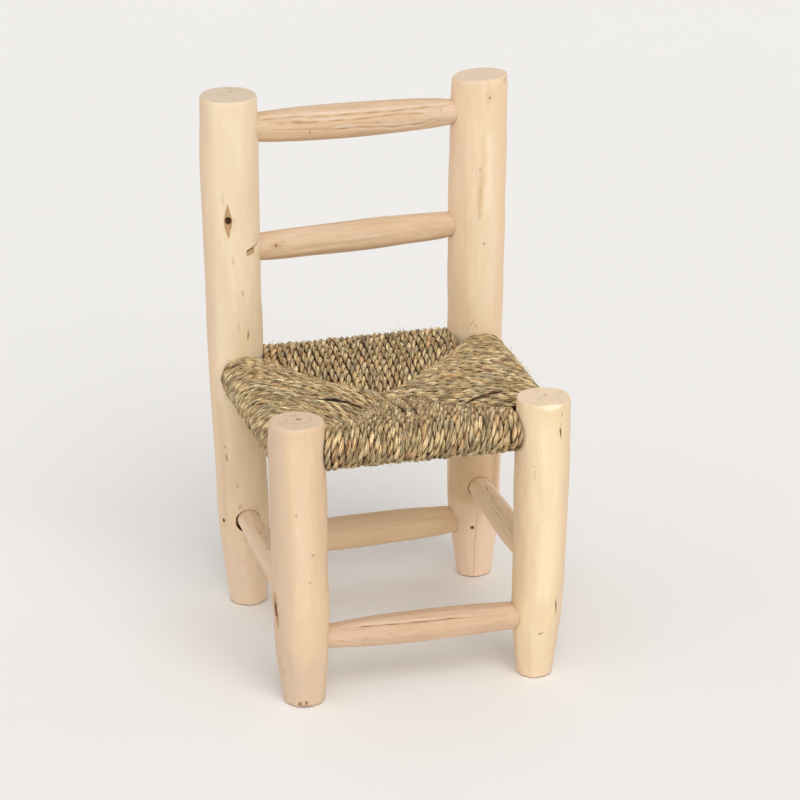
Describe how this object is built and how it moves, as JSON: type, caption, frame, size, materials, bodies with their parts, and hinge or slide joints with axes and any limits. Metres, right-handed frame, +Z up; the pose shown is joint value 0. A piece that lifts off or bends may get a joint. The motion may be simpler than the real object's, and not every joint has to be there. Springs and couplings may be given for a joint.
{
  "type": "child's chair",
  "caption": "Small ladder-back chair of peeled round wood: four posts, whittled rails and stretchers in mortises, and a woven rope seat.",
  "frame": {"origin": "on the floor, below the middle of the chair's box", "axes": "+Z up along the posts, -Y to the front of the seat, +X to the right of someone who faces the chair"},
  "size_m": [0.3209, 0.301, 0.5631],
  "materials": {
    "post_wood": "peeled, unvarnished, smooth and dry",
    "rung_wood": "whittled, unvarnished, with knife facets",
    "seat_rail_wood": "rough peeled stick, hidden in the seat",
    "seat_rope": "two-ply twisted dry grass rope, matt",
    "nail_steel": "dull dark iron"
  },
  "bodies": {
    "root": {"post_back_left": "post_wood", "post_back_right": "post_wood", "post_front_left": "post_wood", "post_front_right": "post_wood", "back_rail_upper": "rung_wood", "back_rail_lower": "rung_wood", "stretcher_front": "rung_wood", "stretcher_back": "rung_wood", "stretcher_left": "rung_wood", "stretcher_right": "rung_wood", "seat_rail_front": "seat_rail_wood", "seat_rail_back": "seat_rail_wood", "seat_rail_left": "seat_rail_wood", "seat_rail_right": "seat_rail_wood", "rope_seat": "seat_rope", "tenon_nails": "nail_steel"}
  },
  "joints": []
}
